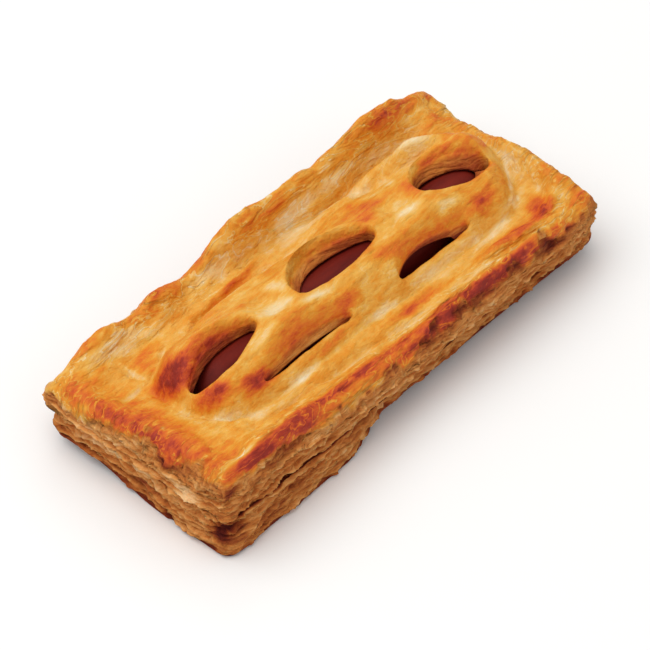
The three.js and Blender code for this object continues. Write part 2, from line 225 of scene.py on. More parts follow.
def dough_strip(step, rings, slits=(), cut_rings=0):
    """A flat strip of dough, 1 high: its slits are cut open by a hair, its sides divided into rings."""
    hair = 0.05
    strip = bmesh.new()
    bmesh.ops.create_grid(strip, x_segments=round(LENGTH / step), y_segments=round(WIDTH / step), size=0.5)
    bmesh.ops.scale(strip, vec=(LENGTH, WIDTH, 1), verts=strip.verts)
    for row, start, end in slits:
        def cut(vertex):
            return abs(vertex.co.y - row) < hair and start <= vertex.co.x <= end

        knife = [edge for edge in strip.edges if cut(edge.verts[0]) and cut(edge.verts[1])]
        bmesh.ops.split_edges(strip, edges=knife)
        for vertex in [v for v in strip.verts if cut(v)]:
            sides = [face.calc_center_median().y - row for face in vertex.link_faces]
            if min(sides) > 0 or max(sides) < 0:
                vertex.co.y += math.copysign(hair, sides[0])
    raised = bmesh.ops.extrude_face_region(strip, geom=strip.faces[:], use_keep_orig=True)["geom"]
    raised = [part for part in raised if isinstance(part, bmesh.types.BMVert)]
    bmesh.ops.translate(strip, verts=raised, vec=(0, 0, 1))
    upright = [e for e in strip.edges if abs(e.verts[0].co.z - e.verts[1].co.z) > 0.5]
    outer = [e for e in upright if edge_distance(e.verts[0].co.x, e.verts[0].co.y) < hair]
    inner = [e for e in upright if edge_distance(e.verts[0].co.x, e.verts[0].co.y) >= hair]
    bmesh.ops.subdivide_edges(strip, edges=outer, cuts=rings)
    if inner:
        bmesh.ops.subdivide_edges(strip, edges=inner, cuts=cut_rings)
    bmesh.ops.recalc_face_normals(strip, faces=strip.faces)
    return strip


def base_form(u, v, w):
    """Where a point of the flat strip lies in the risen base; w is 0 on the underside and 1 on top."""
    x, y = round_corner(u, v)
    right = growing(*BASE_NEAR_SIDE, x)
    inset = np.where(y < 0, BASE_NEAR_INSET * right - BASE_FRONT_PROUD * (1 - right), BASE_END_INSET)
    y = y * (1 - inset / HALF_WIDTH)
    x = x * (1 - BASE_END_INSET * growing(*BASE_END, y) / HALF_LENGTH)
    lift = BASE_EDGE_LIFT * (1 - ease(edge_distance(u, v) / BASE_LIFT_REACH))
    under = lift * np.maximum(right, growing(*BASE_FAR_SIDE, y))
    seam = seam_height(x) - SEAM_GAP / 2
    top = np.minimum(seam, TROUGH_AXIS_HEIGHT - trough_depth(x, y))
    top = np.where(trough_depth(x, y) > 0, top, seam)
    return x, y, under + (top - under) * w


# Hollows of the near side and of the front side, where leaves have torn away or sunk in: the middle, half
# length, half height, turn, and how far they stand in.
NEAR_SIDE_HOLLOWS = [
    ("recess under the ridge", -46, 22.6, 18, 2.6, 0, -2.0),
    ("recess further back", -12, 21.5, 20, 1.8, -3, -1.0),
    ("recess near the far end", 56, 18.5, 10, 2.0, 3, -1.2),
    ("hollow in the base", -50, 8, 15, 2.6, 0, -0.9),
    ("tear at the front corner", -75, 20, 6, 3, 30, -1.6),
    ("hollow at the front corner", -74, 9, 6, 5, 0, -0.9),
    ("leaves over the front corner", -72, 14.5, 9, 1.6, 4, 0.9),
    ("leaves over the base", -45, 11.5, 22, 1.4, 1, 0.7),
    ("leaves of the lid", -30, 18.5, 34, 1.5, 0, 0.8),
]
FRONT_SIDE_HOLLOWS = [
    ("torn hollow", -14, 23.5, 4.4, 4.2, 20, -1.9),
    ("hollow above the middle", 8.5, 23.5, 3.6, 4.0, 0, -1.3),
    ("hollow at the front corner", -31, 8.5, 6, 6, 0, -1.0),
    ("leaves by the front corner", -20, 13.5, 9, 2.4, -8, 0.9),
    ("leaves of the middle", 10, 15, 14, 3.4, 0, 0.5),
]


def leaf_relief(place):
    """How far the leaves of a risen side stand out at points in mm, and how near each is to a leaf's edge."""
    x, y, z = place.T
    level = (z + waves(place, LEAF_WAVES)) / LEAF_PITCH
    leaf = np.round(level)
    on_leaf = np.stack([x, y, LEAF_TEARS_APART * leaf], axis=1)
    edge = np.exp(-((level - leaf) / LEAF_EDGE) ** 2)
    reach = LEAF_STAND + waves(on_leaf, LEAF_TEARS)
    pocket = POCKET_STAND + waves(place, POCKETS)
    curl = thin_lines(place, CURL_SIZE, 24.0, 3, CURL_WIDTH)
    fine_curl = thin_lines(place, FINE_CURL_SIZE, 26.0, 2, FINE_CURL_WIDTH)
    ahead, aside = outward(x, y)
    hollow = patches(x, z, NEAR_SIDE_HOLLOWS) * np.clip(-aside, 0, 1)
    hollow += patches(y, z, FRONT_SIDE_HOLLOWS) * np.clip(-ahead, 0, 1)
    relief = pocket + edge * (reach - pocket) + CURL_STAND * curl + FINE_CURL_STAND * fine_curl + hollow
    return relief, np.clip(EDGE_SHOWS * edge + CURL_SHOWS * curl + FINE_CURL_SHOWS * fine_curl, 0, 1)


def make_piece(name, made, slot, *stands_for):
    """Makes a bmesh in mm a piece in metres, which rides on the roll in place of its CAD nodes."""
    bmesh.ops.scale(made, vec=(MM, MM, MM), verts=made.verts)
    mesh = bpy.data.meshes.new(name)
    made.to_mesh(mesh)
    made.free()
    mesh.polygons.foreach_set("use_smooth", [True] * len(mesh.polygons))
    piece = bpy.data.objects.new(name, mesh)
    bpy.context.scene.collection.objects.link(piece)
    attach(piece, "root")
    if stands_for:
        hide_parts(*stands_for)
    return piece


def flat_places(made):
    """The places of a bmesh's vertices, one to a row."""
    return np.array([vertex.co[:] for vertex in made.verts])


def move_to(made, place):
    """Moves a bmesh's vertices to their places."""
    for vertex, spot in zip(made.verts, place.tolist()):
        vertex.co = spot


def keep_values(piece, **values):
    """Stores a value for each vertex, for the piece's material to read."""
    for name, amounts in values.items():
        stored = piece.data.attributes.new(name, "FLOAT", "POINT")
        amounts = np.broadcast_to(amounts, len(piece.data.vertices))
        stored.data.foreach_set("value", amounts.astype(np.float32))


base = dough_strip(BASE_STEP, BASE_RINGS)
u, v, w = flat_places(base).T
x, y, z = base_form(u, v, w)
on_side = edge_distance(u, v) < TOUCHING
at_front = u < -HALF_LENGTH + TOUCHING
place = np.stack([x, y, z], axis=1)
stand, base_edge = leaf_relief(place)
foot = base_form(u, v, np.zeros_like(w))[2]
above_foot = z - foot
stand = stand + (CRUST_STAND - stand) * bell(above_foot / CRUST_HEIGHT)
above_gap = z - GAP_HEIGHT + growing(*GAP_FALL, -v) + waves(place, GAP_WAVES)
gap = bell(above_gap / GAP_HALF_HEIGHT) * at_front * growing(*GAP_WIDTH, v)
stand = stand - GAP_DEPTH * gap - rounding(above_foot, BASE_EDGE_ROUNDING)
out_x, out_y = outward(x, y)
x = x + out_x * stand * on_side
y = y + out_y * stand * on_side
move_to(base, np.stack([x, y, z], axis=1))
risen_base = make_piece("risen_base", base, "pastry_base", "pastry_base")

# Browned places of the near side and of the front side, and painted shade in their recesses, hollows, tear
# and seam and under the lid's ridge: the middle, half length, half height, turn, amount.
NEAR_SIDE_BAKE_AND_SHADE = [
    # The recesses are painted shade.
    ("recess under the ridge", -40, 23, 18, 3.0, 0, 0.10),
    ("recess further back", -12, 22, 22, 2.4, -3, 0.40),
    ("wrinkled crust", 9, 21, 12, 4, 0, 0.40),
    ("recess near the far end", 56, 18.5, 9, 2.2, 3, 0.44),
    ("pale leaf edge", -40, 19, 22, 1.1, 0, -0.16),
    ("pale leaves", -20, 13.5, 22, 2.6, 0, -0.10),
    ("pale middle leaves", 25, 15.5, 20, 3, 0, -0.10),
    # Painted shade in the hollows and the tear at the front corner.
    ("brown hollow in the base", -50, 8, 15, 3, 0, 0.24),
    ("brown hollow by the corner", -74, 9, 5, 5.5, 0, 0.34),
    ("dark tear at the corner", -76, 21, 5, 3, 30, 0.45),
    ("brown lower leaves", 40, 10, 40, 3, 0, 0.18),
    # Painted shade in the band under the overhanging ridge.
    ("painted shade below the ridge, front", -54, 21.0, 26, 2.2, 2, 0.20),
    ("painted shade below the ridge, middle", -20, 20.4, 34, 1.8, -3, 0.55),
    ("painted shade below the ridge, back", 40, 20.8, 52, 2.0, 0, 0.44),
    ("pale leaves at the seam", 10, 15.6, 66, 1.6, 0, -0.06),
    ("brown leaves of the front corner", -64, 4.0, 14, 3.4, 0, 0.24),
    ("brown leaves over the seam", -26, 9, 14, 3.0, 0, 0.14),
    ("burnt spot at the far end", 64, 20.0, 12, 2.2, 0, 0.36),
]
FRONT_SIDE_BAKE_AND_SHADE = [
    # Painted shade in the torn hollow, the hollow above the middle and the hollow at the corner.
    ("painted shade in the torn hollow", -11, 23.0, 5.4, 4.8, 20, 0.90),
    ("painted shade in the hollow above the middle", 8.5, 24, 3.4, 4.5, 0, 0.40),
    ("brown hollow at the corner", -31, 8, 6, 6.5, 0, 0.40),
    ("pale torn leaves", 1, 19, 8, 5, 20, -0.14),
    ("pale leaves by the corner", -18, 15, 5, 3, 0, -0.14),
    ("cream leaves", 14, 14, 14, 4, 0, -0.06),
    ("brown edge, far half", 20, 20.4, 16, 2.4, 0, 0.30),
    ("brown edge, near half", -13, 23.2, 8, 3.0, 0, 0.40),
    # Painted shade in the seam gap and in the hollow by the front corner.
    ("dark seam of the near half", 0, 6.4, 16, 1.3, -4, 0.34),
    ("dark hollow by the front corner", -31, 7.5, 4, 4, 0, 0.30),
    ("cream leaves below the near half", -18, 16.6, 12, 2.6, 4, -0.34),
    ("cream leaves above the gap", 6, 10.8, 26, 2.8, 0, -0.26),
    ("cream leaves above the seam", 12, 17, 20, 1.8, 0, -0.16),
]
SIDE_BAKE = 0.49
CRUST_BAKE = 0.42
LEAF_EDGE_BAKE = -0.26
# Painted shade in the gap above the crust, and on the base's top and underside, which lie under the lid.
GAP_SHADE = 0.5
HIDDEN_SHADE = 0.75


def side_bake(x, y, z, foot):
    """How dark the sides are baked, from 0 for pale leaves to 1 for burnt crust, with painted shade in their
    recesses, hollows and seam and under the ridge.
    """
    ahead, aside = outward(x, y)
    near = patches(x, z, NEAR_SIDE_BAKE_AND_SHADE) * np.clip(-aside, 0, 1)
    front = patches(y, z, FRONT_SIDE_BAKE_AND_SHADE) * np.clip(-ahead, 0, 1)
    crust = CRUST_BAKE * (1 - ease((z - foot - 0.5 * CRUST_HEIGHT) / CRUST_HEIGHT))
    return SIDE_BAKE + near + front + crust


# Leaf edges are paler, and the clefts between them keep a darker tone as painted shade.
bake = side_bake(x, y, z, foot) + LEAF_EDGE_BAKE * base_edge * on_side
# Painted shade in the front gap and on the base's faces under the lid.
bake += GAP_SHADE * gap + HIDDEN_SHADE * ~on_side
# The stored value carries painted shade as well as browning.
keep_values(risen_base, bake=np.clip(bake, 0, 1), leafy=1.0, flaky=0.0)


def linear(code):
    """An sRGB hex colour as linear red, green, blue and alpha."""
    channels = [int(code[n:n + 2], 16) / 255 for n in (1, 3, 5)]
    return [c / 12.92 if c <= 0.04045 else ((c + 0.055) / 1.055) ** 2.4 for c in channels] + [1.0]


def add(tree, kind, inputs=None, **settings):
    """Adds a shader node with its settings; an input is a number, a colour or another node's socket."""
    made = tree.nodes.new("ShaderNode" + kind)
    for name, value in settings.items():
        setattr(made, name, value)
    for name, value in (inputs or {}).items():
        if isinstance(value, bpy.types.NodeSocket):
            tree.links.new(value, made.inputs[name])
        else:
            made.inputs[name].default_value = value
    return made


# How puff pastry colours in the oven, from pale steamed dough to dark crust: on the egg-washed top, and on
# the bare leaves of the sides.
WASHED_TONES = [
    (0.00, "#ECDAB6"), (0.16, "#E8C68A"), (0.32, "#E4AC4C"), (0.46, "#DE9128"),
    (0.60, "#D9741E"), (0.74, "#CB551D"), (0.87, "#A9361F"), (1.00, "#8A2619"),
]
LEAF_TONES = [
    (0.00, "#EFC088"), (0.22, "#DC9A56"), (0.42, "#C47636"),
    (0.62, "#9C4E22"), (0.80, "#7A2E15"), (1.00, "#50140E"),
]
# The sizes in mm of what shows in the pastry, along the roll, across it and upward.
BLOTCH_SIZE = (16, 6, 8)
FLECK_SIZE = (5, 1.8, 2.2)
PIMPLE_SIZE = 1.6
SKIN_SIZE = (22, 6, 8)
SKINS_IN_A_SWELL = 8.0
LAMINA_SIZE = (7, 7, 0.7)
# How much darker or paler they are than the dough around them.
BLOTCH_TONE = 0.36
CRUSTY_TONE = 0.8
SMOOTH_TONE = 0.12
PALE_EDGE_TONE = -0.22
LAMINA_TONE = 0.60
LEAF_FLECK_TONE = 0.40


def repeats(*size):
    """How often something of a size in mm comes in a metre."""
    return [1 / (MM * length) for length in size]


def puff_pastry(name):
    """Puff pastry, baked: an egg-washed top that shines in its thin varnish, and bare sides of dry papery
    leaves, which are matt and painted darker in their clefts as shade."""
    material = bpy.data.materials.new(name)
    material.use_nodes = True
    tree = material.node_tree
    shader = tree.nodes["Principled BSDF"]
    spot = add(tree, "TexCoord").outputs["Object"]
    # This value carries painted shade and painted highlights as well as browning.
    bake = add(tree, "Attribute", attribute_name="bake").outputs["Fac"]
    leafy = add(tree, "Attribute", attribute_name="leafy").outputs["Fac"]
    flaky = add(tree, "Attribute", attribute_name="flaky").outputs["Fac"]

    # Blotches of the egg wash, drawn out along the roll, the speckle of the blistered skin, and its pimples.
    streaks = add(tree, "Mapping", {"Vector": spot, "Scale": repeats(*BLOTCH_SIZE)}).outputs[0]
    blotch = add(tree, "TexNoise", {"Vector": streaks, "Scale": 1.0, "Detail": 4.0, "Roughness": 0.6})
    blotch = blotch.outputs["Fac"]
    flecks = add(tree, "Mapping", {"Vector": spot, "Scale": repeats(*FLECK_SIZE)}).outputs[0]
    speckle = add(tree, "TexNoise", {"Vector": flecks, "Scale": 1.0, "Detail": 4.0, "Roughness": 0.7})
    speckle = speckle.outputs["Fac"]
    pimple = add(tree, "TexVoronoi", {"Vector": spot, "Scale": repeats(PIMPLE_SIZE)[0]}, feature="SMOOTH_F1")
    pimple = pimple.outputs["Distance"]
    # Thin skins, drawn out along the roll, which end one after another in sharp pale edges.
    drawn = add(tree, "Mapping", {"Vector": spot, "Scale": repeats(*SKIN_SIZE)}).outputs[0]
    sheet = add(tree, "TexNoise", {
        "Vector": drawn, "Scale": 1.0, "Detail": 3.0, "Roughness": 0.55, "Distortion": 0.5,
    }).outputs["Fac"]
    turns = add(tree, "Math", {0: sheet, 1: SKINS_IN_A_SWELL}, operation="MULTIPLY").outputs[0]
    skins = add(tree, "Math", {0: turns}, operation="FRACT").outputs[0]
    pale_edge = add(tree, "MapRange", {"Value": skins, "From Min": 0.80, "From Max": 0.97}).outputs[0]
    pale_edge = add(tree, "Math", {0: pale_edge, 1: flaky}, operation="MULTIPLY").outputs[0]
    # Thin leaves, about 0.7 mm apart, long along the sides.
    sheets = add(tree, "Mapping", {"Vector": spot, "Scale": repeats(*LAMINA_SIZE)}).outputs[0]
    lamina = add(tree, "TexNoise", {
        "Vector": sheets, "Scale": 1.0, "Detail": 3.0, "Roughness": 0.55, "Distortion": 0.4,
    }).outputs["Fac"]

    # Browned places are crusty and speckled, pale ones smooth.
    fleck = add(tree, "Math", {0: speckle, 1: 0.5}, operation="SUBTRACT").outputs[0]
    crusty = add(tree, "Math", {0: bake, 1: CRUSTY_TONE, 2: SMOOTH_TONE}, operation="MULTIPLY_ADD").outputs[0]
    top_share = add(tree, "Math", {0: blotch, 1: BLOTCH_TONE, 2: bake}, operation="MULTIPLY_ADD").outputs[0]
    top_share = add(tree, "Math", {0: top_share, 1: BLOTCH_TONE / 2}, operation="SUBTRACT").outputs[0]
    top_share = add(tree, "Math", {0: fleck, 1: crusty, 2: top_share}, operation="MULTIPLY_ADD").outputs[0]
    top_share = add(tree, "Math", {
        0: pale_edge, 1: PALE_EDGE_TONE, 2: top_share,
    }, operation="MULTIPLY_ADD").outputs[0]
    side_share = add(tree, "Math", {0: lamina, 1: LAMINA_TONE, 2: bake}, operation="MULTIPLY_ADD").outputs[0]
    side_share = add(tree, "Math", {
        0: speckle, 1: LEAF_FLECK_TONE, 2: side_share,
    }, operation="MULTIPLY_ADD").outputs[0]
    side_share = add(tree, "Math", {
        0: side_share, 1: (LAMINA_TONE + LEAF_FLECK_TONE) / 2,
    }, operation="SUBTRACT").outputs[0]
    colours = []
    for share, tones in ((top_share, WASHED_TONES), (side_share, LEAF_TONES)):
        ramp = add(tree, "ValToRGB", {"Fac": share})
        stops = ramp.color_ramp.elements
        for position, _ in tones[1:-1]:
            stops.new(position)
        for stop, (position, tone) in zip(stops, tones):
            stop.position = position
            stop.color = linear(tone)
        colours.append(ramp.outputs["Color"])
    colour = add(tree, "Mix", {"Factor": leafy, 6: colours[0], 7: colours[1]}, data_type="RGBA").outputs[2]

    rough = add(tree, "MapRange", {"Value": leafy, "To Min": 0.6, "To Max": 0.9}).outputs[0]
    varnish = add(tree, "MapRange", {"Value": leafy, "To Min": 0.08, "To Max": 0.0}).outputs[0]
    skin = add(tree, "Math", {0: speckle, 1: 1.2, 2: blotch}, operation="MULTIPLY_ADD").outputs[0]
    skin = add(tree, "Math", {0: pimple, 1: -0.35, 2: skin}, operation="MULTIPLY_ADD").outputs[0]
    skin_bump = add(tree, "Bump", {"Height": skin, "Distance": 0.0009, "Strength": 0.7}).outputs[0]
    flake_bump = add(tree, "Bump", {
        "Height": skins, "Distance": 0.0006, "Strength": flaky, "Normal": skin_bump,
    }).outputs[0]
    leaf_bump = add(tree, "Bump", {
        "Height": lamina, "Distance": 0.0014, "Strength": leafy, "Normal": flake_bump,
    }).outputs[0]
    for socket, value in {
        "Base Color": colour, "Roughness": rough, "Coat Weight": varnish, "Normal": leaf_bump,
    }.items():
        tree.links.new(value, shader.inputs[socket])
    shader.inputs["IOR"].default_value = 1.45
    shader.inputs["Specular IOR Level"].default_value = 0.2
    shader.inputs["Coat Roughness"].default_value = 0.3
    shader.inputs["Coat IOR"].default_value = 1.5
    shader.inputs["Subsurface Weight"].default_value = 0.1
    shader.inputs["Subsurface Radius"].default_value = (1.0, 0.5, 0.2)
    shader.inputs["Subsurface Scale"].default_value = 0.002
    return material


baked_pastry = puff_pastry("baked puff pastry")
risen_base.data.materials.append(baked_pastry)


# Sausage. A frankfurter of fine meat in a thin smoked skin, laid along the middle of the base. The oven has
# shrunk its filling a little, so its skin is slack and lightly wrinkled along its length.
SAUSAGE_RADIUS = 10.2
SAUSAGE_STRAIGHT = 96.6
SAUSAGE_MIDDLE = (TROUGH_START + TROUGH_END) / 2
SAUSAGE_SIDES = 96
SAUSAGE_END_RINGS = 40
SAUSAGE_RINGS = 70
WRINKLE_DEPTH = 0.16
WRINKLE_SIZE = (14, 2.6, 2.6)
SLACK_SWELLS = [(0.12, (22, 9, 9), 1.0)]

sausage = bmesh.new()
bmesh.ops.create_uvsphere(
    sausage, u_segments=SAUSAGE_SIDES, v_segments=SAUSAGE_END_RINGS, radius=SAUSAGE_RADIUS
)
bmesh.ops.rotate(sausage, matrix=Matrix.Rotation(math.pi / 2, 3, "Y"), verts=sausage.verts)
for vertex in sausage.verts:
    if abs(vertex.co.x) > TOUCHING:
        vertex.co.x += math.copysign(SAUSAGE_STRAIGHT / 2, vertex.co.x)
long_edges = [e for e in sausage.edges if e.calc_length() > SAUSAGE_STRAIGHT / 3]
bmesh.ops.subdivide_edges(sausage, edges=long_edges, cuts=SAUSAGE_RINGS)
place = flat_places(sausage)
axis_x = np.clip(place[:, 0], -SAUSAGE_STRAIGHT / 2, SAUSAGE_STRAIGHT / 2)
radial = place - np.stack([axis_x, 0 * axis_x, 0 * axis_x], axis=1)
radial /= np.linalg.norm(radial, axis=1)[:, None]
slack = waves(place, SLACK_SWELLS) - WRINKLE_DEPTH * np.abs(grain(place, WRINKLE_SIZE, 8.0, 3))
place = place + radial * slack[:, None] + (SAUSAGE_MIDDLE, 0, TROUGH_AXIS_HEIGHT)
move_to(sausage, place)
frankfurter = make_piece("frankfurter", sausage, "sausage", "sausage")

# The smoke marks of its skin: their size in mm, and their tones, darkened as painted shade of the hollow
# under the lid.
SMOKE_SIZE = (20, 4, 4)
SMOKE_AND_SHADE_TONES = [(0.3, "#5A0E07"), (0.7, "#741C0E")]


def smoked_skin(name):
    """Smoked sausage skin: red-brown, darkened further as painted shade of the hollow under the lid, smooth
    and moist, so it shines, with darker smoke marks along it.
    """
    material = bpy.data.materials.new(name)
    material.use_nodes = True
    tree = material.node_tree
    shader = tree.nodes["Principled BSDF"]
    spot = add(tree, "TexCoord").outputs["Object"]
    along = add(tree, "Mapping", {"Vector": spot, "Scale": repeats(*SMOKE_SIZE)}).outputs[0]
    smoke = add(tree, "TexNoise", {"Vector": along, "Scale": 1.0, "Detail": 4.0}).outputs["Fac"]
    ramp = add(tree, "ValToRGB", {"Fac": smoke})
    stops = ramp.color_ramp.elements
    for stop, (position, tone) in zip(stops, SMOKE_AND_SHADE_TONES):
        stop.position = position
        stop.color = linear(tone)
    tree.links.new(ramp.outputs["Color"], shader.inputs["Base Color"])
    shader.inputs["Roughness"].default_value = 0.6
    shader.inputs["IOR"].default_value = 1.34
    shader.inputs["Specular IOR Level"].default_value = 0.3
    shader.inputs["Subsurface Weight"].default_value = 0.1
    shader.inputs["Subsurface Radius"].default_value = (1.0, 0.3, 0.2)
    shader.inputs["Subsurface Scale"].default_value = 0.0015
    return material


frankfurter.data.materials.append(smoked_skin("smoked sausage skin"))


# Pastry lid. The upper strip of puff pastry, slit in rows and drawn over the sausage, so that the slits
# gape and the strips between them roll. It is brushed with egg, so it shines, and its rims rise in folds.
FLANGE_HEIGHT = 20.3
DOME_RISE = 12.5
DOME_REACH = 17.4
DOME_END_REACH = 14.5
DOME_START = -47
DOME_END = 54
DOME_FOOT_BLEND = 0.12
DOME_FULLNESS = 0.75
TUNNEL_HALF_WIDTH = 13
TUNNEL_FLARE = 6

LID_STEP = 0.6
LID_RINGS = 46
CUT_RINGS = 8
LID_THICKNESS = 5.6
LIP_ROUNDING = 2.4
LIP_ONSET = 2.5
LIFT_ONSET = 2
EDGE_ROUNDING = 4.4
STRETCH_REACH = 13
STRIP_CREST = 4.4
STRIP_REACH = 6.4
# How far the dough has grown past the far end and the far side, and how far its near corner at the far end
# has shrunk along and across the roll.
END_PROUD = (0.9, 64, 13)
FAR_PROUD = (1.4, 18, 14)
CORNER_SHRINKAGE = (0.6, 2.4)
CORNER_ALONG = (1, 62, 16)
CORNER_ACROSS = (1, 14, 19)

# A slit's shape: how much it narrows away from its widest place, and how its pull spreads and fades.
SLIT_TAPER = 0.35
SLIT_FADE = 0.9
SLIT_FADE_REACH = 7
SLIT_SPREAD = 1.3
DRIFT_SPREAD = 2.2

NEAR_ROW = -13.8
MIDDLE_ROW = -1.2
# A slit lies in its row from start to end. Its far and near lips are pulled apart; the far lip's foot is
# pulled less by slant, and starts later and ends sooner. The far strip rolls up and the near one sinks. The
# widest places of the lips lean to the start, and the slit drifts to the near side along its length. The far
# strip's underside is lifted, and its lip bends down over bend_reach.
Slit = namedtuple(
    "Slit",
    "row start end far near slant later sooner roll sink far_lean near_lean drift lift bend bend_reach",
)
SLITS = [
    Slit(MIDDLE_ROW, -58.2, -30, far=4.8, near=5.2, slant=2.0, later=0.6, sooner=0.6, roll=2.2, sink=0.2,
         far_lean=0, near_lean=0.5, drift=-1.6, lift=0, bend=3.0, bend_reach=5.4),
    Slit(MIDDLE_ROW, -15.6, 17.4, far=9.2, near=3.2, slant=3.0, later=3.0, sooner=0, roll=2.6, sink=0,
         far_lean=0.3, near_lean=-0.15, drift=0, lift=0, bend=2.8, bend_reach=4.6),
    Slit(MIDDLE_ROW, 36.6, 63, far=8.3, near=4.5, slant=3.2, later=0, sooner=5.6, roll=2.4, sink=0.4,
         far_lean=0.2, near_lean=-0.1, drift=2.8, lift=0, bend=1.5, bend_reach=4.0),
    Slit(NEAR_ROW, -42, -6, far=3.3, near=-0.4, slant=2.1, later=0.6, sooner=0.6, roll=2.2, sink=0,
         far_lean=0, near_lean=0, drift=0, lift=2.6, bend=1.8, bend_reach=2.4),
    Slit(NEAR_ROW, 12.6, 42.6, far=3.5, near=0.1, slant=0.6, later=0, sooner=6.6, roll=1.8, sink=0.4,
         far_lean=0.4, near_lean=0, drift=0, lift=3.0, bend=2.4, bend_reach=4.4),
]
# Cuts of the far row that closed again: row, start, end, width and depth.
GROOVES = [
    (18.6, -39, 0, 3.4, 2.0),
    (23.4, 8, 50, 2.4, 1.2),
    (21.6, 38, 62, 2.4, 1.4),
]

# Raised and sunken places of the lid: the middle, half length, half width, turn, and how far they rise.
SWELLS = [
    ("front corner", -66, -27, 40, 36, 0, 4.6),
    ("near ridge, front", -46, -28, 52, 7, 0, 2.8),
    ("near ridge, back", 34, -29.6, 60, 5, 0, 3.0),
    ("near end rim", -73, -2, 40, 7, 90, 2.6),
    ("far end rim", 74, -12, 24, 6, 90, 4.8),
    ("far end rim, far part", 74, 12, 18, 6, 90, 1.8),
    ("far left corner", -66, 27, 17, 9, 8, 3.4),
    ("far left fold", -57, 31, 16, 7, 0, 5.2),
    ("far ruffle", -37, 30, 12, 7, 4, 4.6),
    ("far rim", 12, 31.5, 90, 7, 0, 4.2),
    ("far middle fold", -1, 31, 23, 7, -2, 7.2),
    ("far middle fold, back", 24, 31, 20, 6, 0, 5.0),
    ("far right fold", 53, 31, 27, 8.5, 0, 10.0),
    ("far right corner", 67, 23, 8, 9, 0, 3.4),
    ("far right corner rim", 75, 30, 11, 11, 0, 2.6),
    ("inner near bump", 44, -24.6, 26, 3.4, -4, 2.8),
    ("inner near bump, end", 65, -23.4, 10, 3.4, 22, 2.6),
    ("strip over the first window", -52, 8, 13, 7, 12, 1.4),
    ("strip over the last window", 47.7, 15.8, 19.2, 5.7, -24, 9.3),
    ("end of that strip", 65.2, 4.2, 13.2, 7.6, -42, 5.4),
    ("strip before the first groove", -20, 14.0, 22, 3.4, 1, 1.8),
    ("dome's far side, middle", 24, 18.2, 20, 5.0, 2, 3.8),
    ("near band", -14, -18.6, 36, 4.4, -1, 1.4),
    ("front rim pad", -67, -3, 8, 20, 0, 1.4),
    ("past the end of the dome", 72, -2, 9, 14, 0, 1.8),
    ("valley below the far fold", 46, 22.5, 26, 5, 0, -1.4),
    ("web between the first windows", -22.5, 2, 9, 8, 0, -2.6),
    ("web between the last windows", 28, 2, 8, 7, 0, -2.2),
    ("web between the near slits", 2, -14, 9, 6, 0, -1.4),
]


def share_along(start, end, x):
    """Where x lies along a slit, from -1 at its start to 1 at its end."""
    return (x - (start + end) / 2) / ((end - start) / 2)


def opening(start, end, lean, x, away):
    """How open a slit is at x, from 0 at its ends to 1; away from the slit its pull fades out more softly and
    reaches a little past its ends."""
    t = share_along(start, end, x)
    widest = t + lean * (1 - t * t)
    sharp = np.where(np.abs(t) < 1, np.sqrt(np.clip(1 - t * t, 0, 1)) * (1 - SLIT_TAPER * widest**2), 0)
    return sharp + (SLIT_FADE * bell(t / SLIT_SPREAD) - sharp) * ease(away / SLIT_FADE_REACH)


def dome_height(x, y):
    """How far the lid is raised over the sausage."""
    beyond = np.maximum(np.maximum(DOME_START - x, x - DOME_END), 0) / DOME_END_REACH
    swell = (1 - np.minimum(np.hypot(beyond, y / DOME_REACH), 1) ** 2) ** DOME_FULLNESS
    return DOME_RISE * (1 + DOME_FOOT_BLEND) * swell * swell / (swell + DOME_FOOT_BLEND)


def groove_depth(x, y):
    """How deep the closed cuts are."""
    depth = 0
    for row, start, end, width, deep in GROOVES:
        depth = depth + deep * bell(share_along(start, end, x)) * bell((y - row) / width)
    return depth


def lid_height(x, y):
    """The height of the lid's top at x, y, apart from its lips and rounded edges."""
    return FLANGE_HEIGHT + dome_height(x, y) + patches(x, y, SWELLS) - groove_depth(x, y)


# Creases of the lid, where its strips, webs and rims meet: the middle, half length, half width, turn, depth.
CREASES = [
    ("foot of the dome at the front", -60.2, 4, 9.5, 1.5, 90, -1.5),
    ("foot of the dome, near part", -58.4, -9.5, 8, 1.4, -63, -1.4),
    ("foot of the dome, end", -52.5, -16, 7, 1.3, -28, -1.1),
    ("fold line on the front flange", -65.5, 13, 6, 1.1, 0, -0.9),
    ("fold line to the far rim", -59, 18.5, 6.5, 1.1, 105, -0.9),
    ("far foot of the first strip", -50, 16.2, 9, 1.3, 28, -1.2),
    ("between the near band and the ridge", -42, -21.8, 16, 1.3, 2, -1.1),
    ("the same, middle", -20, -22.9, 14, 1.3, -4, -1.1),
    ("the same, further back", 6, -24.2, 15, 1.3, -2, -0.9),
    ("outer foot of the inner bump", 50, -27.6, 12, 1.2, 2, -1.2),
    ("end of the inner bump", 64, -23.5, 6, 1.2, 50, -0.9),
    ("foot of the far fold", 20, 26.3, 26, 1.4, 0, -1.3),
    ("foot of the far fold, back", 50, 25.4, 14, 1.4, -3, -1.3),
    ("near foot of the dome at the far end", 61, -12.5, 10, 1.3, 35, -1.0),
    ("far end of the dome", 70, 3, 11, 1.4, 90, -1.2),
    ("strip by the first near slit", -46, -15.5, 9, 1.2, -12, -0.9),
    ("wrinkle on the second web", 31, 0.5, 4, 0.9, -30, -0.8),
    ("wrinkle past the second window", 22, -4, 4, 0.9, 20, -0.7),
    ("fold across the first web", -24, 6, 6, 1.0, -35, -0.7),
    ("second fold across the first web", -19, -3, 6, 1.0, 35, -0.7),
]

